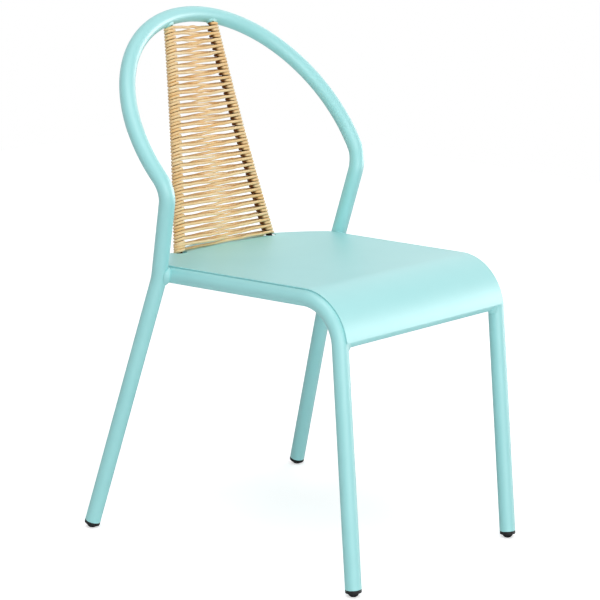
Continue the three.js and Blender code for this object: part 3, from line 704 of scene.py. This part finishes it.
def weld_bead(base, way, radius, other, other_radius, leg):
    """Skin of the bead round the end of a tube that meets another. Lines along the first tube's skin are followed
    until they reach the other tube. Each section is a curve from a toe on one skin to a toe on the other, drawn in
    towards the corner, closed behind by a point inside the metal. Where lines miss, the bead tapers away."""
    _, first, second = section_axes(np.stack([base, base + way]), unit(np.cross(way, WELD_SLANT)))
    turn = np.linspace(0, 2 * np.pi, WELD_SIDES, endpoint=False)
    out = np.cos(turn)[:, None] * first[0] + np.sin(turn)[:, None] * second[0]
    travel = np.linspace(0, 1, WELD_SEARCH_STEPS)
    along = unit(way)
    near = other[np.linalg.norm(other - (base + way), axis=1) < WELD_SEARCH_REACH]
    track = base + radius * out[:, None] + travel[None, :, None] * way
    away, _ = distance_to_path(track, near)
    hit = away < other_radius
    found = hit.any(axis=1)
    stop = hit.argmax(axis=1)
    corner = track[np.arange(WELD_SIDES), stop]
    closed = bool(found.all())
    if not closed:
        gap = np.flatnonzero(found & ~np.roll(found, 1))[0]
        order = np.roll(np.arange(WELD_SIDES), -gap)
        order = order[found[order]]
        corner, out = corner[order], out[order]
    count = len(corner)
    taper = np.ones(count) if closed else np.sin(np.pi * (np.arange(count) + 0.5) / count) ** WELD_TAPER
    size = (leg * taper)[:, None]
    toe_near = corner - along * size
    toe_far = onto_tube(corner + out * size, near, other_radius)
    middle = corner + WELD_FULLNESS * ((toe_near + toe_far) / 2 - corner)
    t = np.linspace(0, 1, WELD_CURVE_POINTS)[None, :, None]
    curve = (1 - t) ** 2 * toe_near[:, None] + 2 * t * (1 - t) * middle[:, None] + t ** 2 * toe_far[:, None]
    lift = unit((toe_near + toe_far) / 2 - corner)
    ripple = WELD_RIPPLE * np.abs(np.sin(np.pi * run_along(corner) / WELD_RIPPLE_LENGTH))
    wave = ripple[:, None, None] * np.sin(np.pi * t)
    curve = curve + lift[:, None] * wave
    inside = corner - out * WELD_INSIDE
    sink = unit(inside - (toe_near + toe_far) / 2)[:, None] * WELD_SINK
    curve[:, :1] += sink
    curve[:, -1:] += sink
    loop = np.concatenate([curve, inside[:, None]], axis=1)
    rows, columns = loop.shape[:2]
    caps = () if closed else (np.arange(columns)[::-1], np.arange(columns) + (rows - 1) * columns)
    return loop.reshape(-1, 3), grid_faces(rows, columns, closed, True), caps


class Term:
    """A number that varies over a surface. Arithmetic on it adds Math nodes."""

    def __init__(self, shader, socket):
        self.shader = shader
        self.socket = socket

    def math(self, operation, other):
        """This term and another, or a number, through one Math node."""
        made = self.shader.node("ShaderNodeMath", {"operation": operation}, {0: self, 1: other})
        return Term(self.shader, made.outputs[0])

    def __add__(self, other):
        return self.math("ADD", other)

    def __mul__(self, other):
        return self.math("MULTIPLY", other)

    __radd__ = __add__
    __rmul__ = __mul__


class Shader:
    """A material's node tree with one method for every kind of node."""

    def __init__(self, owner):
        owner.use_nodes = True
        self.tree = owner.node_tree
        self.tree.nodes.clear()

    def node(self, kind, settings=None, inputs=None):
        """Adds a node, sets its settings first and then its sockets to values or links."""
        made = self.tree.nodes.new(kind)
        for name, value in (settings or {}).items():
            setattr(made, name, value)
        for name, value in (inputs or {}).items():
            value = value.socket if isinstance(value, Term) else value
            if isinstance(value, bpy.types.NodeSocket):
                self.tree.links.new(value, made.inputs[name])
            else:
                made.inputs[name].default_value = value
        return made

    def scaled(self, vector, scale):
        """A vector with each axis scaled by its own number."""
        made = self.node("ShaderNodeVectorMath", {"operation": "MULTIPLY"}, {0: vector, 1: scale})
        return made.outputs[0]

    def noise(self, vector, scale, detail, roughness=0.5):
        """Noise from 0 to 1."""
        inputs = {"Vector": vector, "Scale": scale, "Detail": detail, "Roughness": roughness}
        return Term(self, self.node("ShaderNodeTexNoise", {}, inputs).outputs["Fac"])

    def attribute(self, name, output):
        """A mesh's own attribute of that name."""
        return self.node("ShaderNodeAttribute", {"attribute_name": name}).outputs[output]

    def object_place(self):
        """Object coordinates."""
        return self.node("ShaderNodeTexCoord").outputs["Object"]

    def ramp(self, value, low, high):
        """0 below low, 1 above high, straight between them."""
        made = self.node("ShaderNodeMapRange", {"clamp": True}, {"Value": value, "From Min": low, "From Max": high})
        return Term(self, made.outputs[0])

    def mix(self, factor, a, b):
        """Colour a where the factor is 0 and b where it is 1."""
        made = self.node("ShaderNodeMix", {"data_type": "RGBA"}, {0: factor, 6: a, 7: b})
        return made.outputs[2]

    def bump(self, height, distance, strength):
        """Normal bent by a height."""
        made = self.node("ShaderNodeBump", {}, {"Height": height, "Distance": distance, "Strength": strength})
        return made.outputs[0]

    def surface(self, **sockets):
        """Principled surface joined to the output; an underscore in a name stands for a blank."""
        inputs = {name.replace("_", " "): value for name, value in sockets.items()}
        made = self.node("ShaderNodeBsdfPrincipled", {}, inputs)
        self.node("ShaderNodeOutputMaterial", {}, {"Surface": made.outputs[0]})


def material(name, build, *arguments):
    """The named material, made once."""
    found = bpy.data.materials.get(name)
    if found is None:
        found = bpy.data.materials.new(name)
        build(Shader(found), *arguments)
    return found


def rgba(tint):
    """A property's colour with full cover."""
    return (*tint, 1.0)


def powder_coat_nodes(shader, finish):
    """Satin turquoise powder coat: faint mottling and the fine orange peel of baked powder."""
    place = shader.object_place()
    mottle = shader.noise(place, 9.0, 3.0)
    peel = shader.noise(place, 520.0, 2.0, 0.55)
    grain = shader.noise(place, 2600.0, 1.0)
    tint = shader.mix(shader.ramp(mottle, 0.3, 0.7), rgba(finish.coat_deep), rgba(finish.coat))
    shader.surface(
        Base_Color=tint,
        Roughness=0.44 + 0.08 * peel,
        Specular_IOR_Level=1.0,
        Coat_Weight=0.5,
        Coat_Roughness=0.5,
        Normal=shader.bump(peel * 0.8 + grain * 0.2, 0.00006, 0.5),
    )


def cord_nodes(shader, finish):
    """Straw-coloured outdoor cord: fibres drawn along it, tone that drifts along its length, soft gloss, and painted
    shade on the cord beside the rods.
    """
    place = shader.attribute("cord_place", "Vector")
    fibre = shader.noise(shader.scaled(place, (22.0, 1100.0, 1100.0)), 1.0, 3.0, 0.6)
    strand = shader.noise(shader.scaled(place, (60.0, 480.0, 480.0)), 1.0, 2.0)
    drift = shader.noise(shader.scaled(place, (3.2, 0.0, 0.0)), 1.0, 2.0)
    fleck = shader.noise(shader.scaled(place, (240.0, 900.0, 900.0)), 1.0, 1.0)
    tone = shader.ramp(fibre * 0.55 + strand * 0.25 + drift * 0.35, 0.40, 0.76)
    straw = shader.mix(tone, rgba(finish.cord), rgba(finish.cord_pale))
    dark = shader.ramp(fleck * 0.4 + fibre * 0.6, 0.40, 0.30)
    # Painted shade on the cord beside the rods: its colour turns near-black brown and it grows rougher there
    painted_shade = Term(shader, shader.attribute("cord_painted_shade", "Fac"))
    streaked = shader.mix(dark * 0.75, straw, rgba(finish.cord_dark))
    shader.surface(
        Base_Color=shader.mix(painted_shade, streaked, rgba(finish.cord_painted_shade)),
        Roughness=0.36 + 0.16 * fibre + 0.4 * painted_shade,
        Specular_IOR_Level=0.4,
        Normal=shader.bump(fibre, 0.00012, 0.7),
    )


def rod_nodes(shader, finish):
    """Brown painted steel under the winding."""
    place = shader.object_place()
    wear = shader.noise(place, 300.0, 3.0)
    shader.surface(
        Base_Color=shader.mix(wear, rgba(finish.rod), rgba(finish.rod_worn)),
        Roughness=0.6 + 0.2 * wear,
        Specular_IOR_Level=0.15,
    )


def plug_nodes(shader, finish):
    """Black moulded plastic with a faint spark-eroded texture and scuffs near the floor."""
    place = shader.object_place()
    grain = shader.noise(place, 1800.0, 2.0)
    scuff = shader.noise(place, 260.0, 3.0)
    shader.surface(
        Base_Color=shader.mix(shader.ramp(scuff, 0.55, 0.8), rgba(finish.plug), rgba(finish.plug_scuffed)),
        Roughness=0.38 + 0.16 * scuff,
        Specular_IOR_Level=0.3,
        Normal=shader.bump(grain, 0.00005, 0.5),
    )


def coated(scene, name, skin, *nodes):
    """A powder coated piece of the frame, from its skin and the nodes that it stands for."""
    coat = material("turquoise_powder_coat", powder_coat_nodes, scene.chair_finish)
    finish_piece(new_object(name, *skin), coat, "powder_coat", *nodes)


class CHAIR_OT_back_hoop(bpy.types.Operator):
    """Makes the hoop and rear legs, one bent tube"""
    bl_idname = "chair.back_hoop"
    bl_label = "Back hoop and rear legs"

    def execute(self, context):
        lines = ChairLines(context.scene)
        f = lines.frame
        path = lines.placed(lines.hoop_and_legs())
        skin = tube_skin(path, lines.hoop_face, lines.radius, f.tube_wall, f.rim, f.tube_sides)
        coated(context.scene, "hoop_and_rear_legs", skin, "back_hoop_and_rear_legs")
        return {"FINISHED"}


class CHAIR_OT_front_legs(bpy.types.Operator):
    """Makes each front leg with its rail, one bent tube a side, closed at the back"""
    bl_idname = "chair.front_legs"
    bl_label = "Front legs and rails"

    def execute(self, context):
        lines = ChairLines(context.scene)
        f = lines.frame
        for name, side in SIDES.items():
            path = lines.placed(lines.leg_and_rail(side))
            skin = tube_skin(path, ACROSS, lines.radius, f.tube_wall, f.rim, f.tube_sides)
            coated(context.scene, f"leg_and_rail_{name}", skin, f"front_leg_and_rail_{name}")
            end, way = path[-1], unit(path[-1] - path[-2])
            steps = np.array([-f.tube_wall, -f.rim, 0.0, f.rim])[:, None]
            bore = lines.radius - f.tube_wall
            radii = np.array([bore, bore, bore - f.rim, lines.radius * DISC_CROWN])
            disc = bar_skin(end + way * steps, ACROSS, radii, f.tube_sides)
            coated(context.scene, f"rail_end_disc_{name}", disc)
        return {"FINISHED"}


class CHAIR_OT_cross_members(bpy.types.Operator):
    """Makes the cross tube behind the apron and the bow under the back of the seat"""
    bl_idname = "chair.cross_members"
    bl_label = "Cross tube and seat bow"

    def execute(self, context):
        lines = ChairLines(context.scene)
        f = lines.frame
        for name, path, node in (("cross_tube", lines.cross_tube(), "front_cross_tube"),
                                 ("seat_bow", lines.bow(), "rear_seat_bow")):
            skin = tube_skin(lines.placed(path), UPWARD, lines.slim_radius, f.tube_wall, f.rim, f.slim_tube_sides)
            coated(context.scene, name, skin, node)
        return {"FINISHED"}


class CHAIR_OT_seat_panel(bpy.types.Operator):
    """Makes the seat panel, rolled down over the front bend and notched round the rods"""
    bl_idname = "chair.seat_panel"
    bl_label = "Seat panel"

    def execute(self, context):
        lines = ChairLines(context.scene)
        middle, normals = panel_grid(lines)
        skin = sheet_skin(lines.placed(middle), normals, lines.seat.thickness / 2, lines.seat.edge_rounding)
        coated(context.scene, "seat_sheet", skin, "seat_panel")
        return {"FINISHED"}


class CHAIR_OT_welds(bpy.types.Operator):
    """Makes the weld beads where the tubes meet"""
    bl_idname = "chair.welds"
    bl_label = "Welds"

    def execute(self, context):
        lines = ChairLines(context.scene)
        hoop = lines.placed(lines.hoop_and_legs())
        cross = lines.placed(lines.cross_tube())
        bow = lines.placed(lines.bow())
        slim_run = 3 * lines.slim_radius + lines.radius
        for name, side in SIDES.items():
            rail = lines.placed(lines.leg_and_rail(side))
            rod = lines.placed(lines.rod(side))
            bow_side = bow[::side]
            # Joint, end of its tube, way to the other tube, radius, how far back the bead is looked for, other tube
            joints = (
                ("rail", rail[-1], rail[-1] - rail[-2], lines.radius, 3 * lines.radius, hoop),
                ("cross_tube", cross[::side][0], ACROSS * side, lines.slim_radius, slim_run, rail),
                ("seat_bow", bow_side[0], bow_side[0] - bow_side[3], lines.slim_radius, slim_run, rail),
                ("rod", rod[-1], rod[-1] - rod[-2], lines.splat.rod_diameter / 2, 2 * lines.radius, hoop),
            )
            for joint, end, along, radius, run, other in joints:
                way = unit(along) * run
                leg = WELD_SHARES[joint] * lines.frame.weld_leg
                bead = weld_bead(end - way, way, radius, other, lines.radius, leg)
                coated(context.scene, f"weld_{joint}_{name}", bead)
        return {"FINISHED"}


class CHAIR_OT_splat_rods(bpy.types.Operator):
    """Makes the two rods of the splat"""
    bl_idname = "chair.splat_rods"
    bl_label = "Splat rods"

    def execute(self, context):
        lines = ChairLines(context.scene)
        paint = material("brown_rod_paint", rod_nodes, context.scene.chair_finish)
        for name, side in SIDES.items():
            path = lines.placed(lines.rod(side))
            radii = np.full(len(path), lines.splat.rod_diameter / 2)
            skin = bar_skin(path, ACROSS, radii, lines.splat.rod_sides)
            finish_piece(new_object(f"rod_{name}", *skin), paint, "rod_steel", f"splat_rod_{name}")
        return {"FINISHED"}


class CHAIR_OT_splat_winding(bpy.types.Operator):
    """Winds the cord round both rods in figures of eight"""
    bl_idname = "chair.splat_winding"
    bl_label = "Splat winding"

    def execute(self, context):
        lines = ChairLines(context.scene)
        s = lines.splat
        own = winding_path(lines)
        path = lines.placed(own)
        reference = unit(lines.splat_up * np.cos(np.pi / 6) + lines.splat_back * np.sin(np.pi / 6))
        radius = s.cord_diameter / 2
        points, quads, caps = bar_skin(path, reference, np.full(len(path), radius), s.cord_sides)
        piece = new_object("cord_winding", points, quads, caps)
        run = run_along(path)
        turn = np.linspace(0, 2 * np.pi, s.cord_sides, endpoint=False)
        place = np.stack([np.repeat(run, s.cord_sides), np.tile(radius * np.cos(turn), len(run)),
                          np.tile(radius * np.sin(turn), len(run))], axis=1)
        carried = piece.data.attributes.new("cord_place", "FLOAT_VECTOR", "POINT")
        carried.data.foreach_set("vector", place.astype(np.float32).ravel())
        # This attribute carries painted shade: it darkens the cord where it lies on a rod's inner side
        painted_shade = piece.data.attributes.new("cord_painted_shade", "FLOAT", "POINT")
        painted_shade.data.foreach_set("value", np.repeat(painted_shade_share(own, lines), s.cord_sides).astype(np.float32))
        straw = material("straw_cord", cord_nodes, context.scene.chair_finish)
        finish_piece(piece, straw, "rattan_cord", "splat_winding")
        return {"FINISHED"}


class CHAIR_OT_foot_plugs(bpy.types.Operator):
    """Makes the four foot plugs"""
    bl_idname = "chair.foot_plugs"
    bl_label = "Foot plugs"

    def execute(self, context):
        lines = ChairLines(context.scene)
        black = material("black_plug_plastic", plug_nodes, context.scene.chair_finish)
        for name, side in SIDES.items():
            for end, foot, above in (("front", lines.front_foot(side), lines.corner * (side, 1, 1)),
                                     ("rear", lines.rear_foot(side), lines.rear_bend(side))):
                points, quads, caps = self.plug(lines, foot, above)
                piece = new_object(f"plug_{end}_{name}", lines.placed(points), quads, caps)
                finish_piece(piece, black, "foot_plastic", f"foot_plug_{end}_{name}")
        return {"FINISHED"}

    @staticmethod
    def plug(lines, foot, above, dome_points=16, rounding_points=5):
        """Profile turned round the leg's axis: an elliptic dome, a flange with rounded edges and a stem. What would
        reach below the floor is pressed flat onto it."""
        p, f = lines.foot, lines.frame
        height = p.dome_drop + p.dome_sink
        swing = np.linspace(np.pi / 2 * DOME_STOP, 0, dome_points)
        dome = np.stack([p.dome_diameter / 2 * np.cos(swing), p.dome_drop - height * np.sin(swing)], axis=1)
        radius, rounding = p.flange_diameter / 2, p.flange_rounding
        arc = np.linspace(0, np.pi / 2, rounding_points)
        aside, aloft = rounding * np.cos(arc), rounding * np.sin(arc)
        top = p.dome_drop + p.flange_thickness
        lower = np.stack([radius - rounding + aloft, p.dome_drop + rounding - aside], axis=1)
        upper = np.stack([radius - rounding + aside, top - rounding + aloft], axis=1)
        stem = lines.radius - f.tube_wall - f.gap
        shoulder = np.array([[stem, top], [stem, top + p.stem_length - p.stem_chamfer],
                             [stem - p.stem_chamfer, top + p.stem_length]])
        profile = np.concatenate([dome, lower, upper, shoulder])
        up = unit(above - foot)
        first = unit(ACROSS - (up @ ACROSS) * up)
        second = np.cross(up, first)
        count = len(profile)
        grid = rings(foot + profile[:, 1:] * up, np.repeat(first[None], count, 0), np.repeat(second[None], count, 0),
                     profile[:, 0], p.sides)
        points = grid.reshape(-1, 3)
        points[:, 2] = np.maximum(points[:, 2], 0)
        caps = [np.arange(p.sides)[::-1], np.arange((count - 1) * p.sides, count * p.sides)]
        return points, grid_faces(count, p.sides, False, True), caps


class CHAIR_OT_stage(bpy.types.Operator):
    """Makes the floor, the lamps, the world and the camera"""
    bl_idname = "chair.stage"
    bl_label = "Stage"

    def execute(self, context):
        scene = context.scene
        stage = scene.chair_stage
        back, right, up = self.camera_axes(stage)
        camera = self.placed_object("photo_camera", bpy.data.cameras.new("photo_camera"), stage.camera_place,
                                    right, up, back)
        camera.data.lens = stage.focal_length
        camera.data.clip_end = CAMERA_REACH
        scene.camera = camera
        self.make_floor(scene, stage)
        self.make_world(scene, stage)
        level_right, level_back = unit(right * (1, 1, 0)), unit(back * (1, 1, 0))
        aim = stage.aim_height * UPWARD
        kinds = {
            "front_lamp": (stage.lamp_height, stage.front_power),
            "sheen_lamp": (stage.lamp_height, stage.sheen_power),
            "top_lamp": (stage.lamp_size, stage.top_power),
            "back_lamp": (stage.lamp_size, stage.back_power),
        }
        for name, (to_right, to_back, to_up) in LAMP_WAYS.items():
            tall, power = kinds[name]
            lamp_back = unit(to_right * level_right + to_back * level_back + to_up * UPWARD)
            lamp_right = unit(np.cross(UPWARD, lamp_back))
            data = bpy.data.lights.new(name, "AREA")
            data.shape, data.size, data.size_y, data.energy = "RECTANGLE", stage.lamp_size, tall, power
            lamp = self.placed_object(name, data, aim + stage.lamp_reach * lamp_back, lamp_right,
                                      np.cross(lamp_back, lamp_right), lamp_back)
            lamp.visible_diffuse = name != "sheen_lamp"
        scene.view_settings.view_transform = "Standard"
        return {"FINISHED"}

    @staticmethod
    def camera_axes(stage):
        """Back, right and up of a camera turned by azimuth, raised by elevation and rolled."""
        a, e, r = stage.azimuth, stage.elevation, stage.roll
        back = point(np.sin(a) * np.cos(e), -np.cos(a) * np.cos(e), np.sin(e))
        right = point(np.cos(a), np.sin(a), 0)
        up = np.cross(back, right)
        return back, np.cos(r) * right + np.sin(r) * up, np.cos(r) * up - np.sin(r) * right

    @staticmethod
    def placed_object(name, data, place, right, up, back):
        """A camera or lamp at a place, with its own right, up and back."""
        made = bpy.data.objects.new(name, data)
        bpy.context.scene.collection.objects.link(made)
        turned = np.eye(4)
        turned[:3] = np.stack([right, up, back, np.array(place)], axis=1)
        made.matrix_world = Matrix(turned.tolist())
        return made

    @staticmethod
    def make_floor(scene, stage):
        """A square on the ground under the middle of the chair."""
        half = stage.floor_size / 2
        mesh = bpy.data.meshes.new("floor")
        mesh.from_pydata([(-half, -half, 0), (half, -half, 0), (half, half, 0), (-half, half, 0)], [], [(0, 1, 2, 3)])
        floor = bpy.data.objects.new("floor", mesh)
        scene.collection.objects.link(floor)
        mesh.materials.append(material("white_floor", floor_nodes, stage))

    @staticmethod
    def make_world(scene, stage):
        """White where the camera and reflections look, and a faint even light elsewhere."""
        world = bpy.data.worlds.new("white_world")
        scene.world = world
        shader = Shader(world)
        path = shader.node("ShaderNodeLightPath").outputs
        seen = Term(shader, path["Is Camera Ray"]) + Term(shader, path["Is Glossy Ray"])
        seen = (seen + Term(shader, path["Is Transmission Ray"])).math("MINIMUM", 1.0)
        strength = seen * (1 - stage.ambient) + stage.ambient
        light = shader.node("ShaderNodeBackground", {}, {"Color": (1, 1, 1, 1), "Strength": strength})
        shader.node("ShaderNodeOutputWorld", {}, {"Surface": light.outputs[0]})


def floor_nodes(shader, stage):
    """White floor that keeps the chair's shadow; the camera sees a little light of its own so that it is white."""
    path = shader.node("ShaderNodeLightPath").outputs
    white = shader.node("ShaderNodeBsdfDiffuse", {}, {"Color": rgba([stage.floor_white] * 3)})
    seen = Term(shader, path["Is Camera Ray"]) * stage.floor_glow
    glow = shader.node("ShaderNodeEmission", {}, {"Color": (1, 1, 1, 1), "Strength": seen})
    both = shader.node("ShaderNodeAddShader", {}, {0: white.outputs[0], 1: glow.outputs[0]})
    shader.node("ShaderNodeOutputMaterial", {}, {"Surface": both.outputs[0]})


class CHAIR_PT_builder(bpy.types.Panel):
    """Lists the chair's builders in the sidebar"""
    bl_label = "Bistro chair"
    bl_idname = "CHAIR_PT_builder"
    bl_space_type = "VIEW_3D"
    bl_region_type = "UI"
    bl_category = "Chair"

    def draw(self, context):
        for operator in OPERATORS:
            self.layout.operator(operator.bl_idname)


SETTINGS = {
    "chair_frame": ChairFrameSizes,
    "chair_seat": ChairSeatSizes,
    "chair_splat": ChairSplatSizes,
    "chair_foot": ChairFootSizes,
    "chair_finish": ChairFinish,
    "chair_stage": ChairStage,
}
OPERATORS = (
    CHAIR_OT_stage,
    CHAIR_OT_back_hoop,
    CHAIR_OT_front_legs,
    CHAIR_OT_cross_members,
    CHAIR_OT_seat_panel,
    CHAIR_OT_welds,
    CHAIR_OT_splat_rods,
    CHAIR_OT_splat_winding,
    CHAIR_OT_foot_plugs,
)


def register():
    for group in SETTINGS.values():
        bpy.utils.register_class(group)
    for operator in OPERATORS:
        bpy.utils.register_class(operator)
    bpy.utils.register_class(CHAIR_PT_builder)
    for name, group in SETTINGS.items():
        setattr(bpy.types.Scene, name, PointerProperty(type=group))


def unregister():
    for name in SETTINGS:
        delattr(bpy.types.Scene, name)
    bpy.utils.unregister_class(CHAIR_PT_builder)
    for operator in reversed(OPERATORS):
        bpy.utils.unregister_class(operator)
    for group in reversed(list(SETTINGS.values())):
        bpy.utils.unregister_class(group)


def main():
    """Builds the chair and its stage."""
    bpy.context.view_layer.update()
    register()
    bpy.ops.chair.stage()
    bpy.ops.chair.back_hoop()
    bpy.ops.chair.front_legs()
    bpy.ops.chair.cross_members()
    bpy.ops.chair.seat_panel()
    bpy.ops.chair.welds()
    bpy.ops.chair.splat_rods()
    bpy.ops.chair.splat_winding()
    bpy.ops.chair.foot_plugs()
    bpy.context.view_layer.update()
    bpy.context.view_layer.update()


if __name__ == "__main__":
    main()
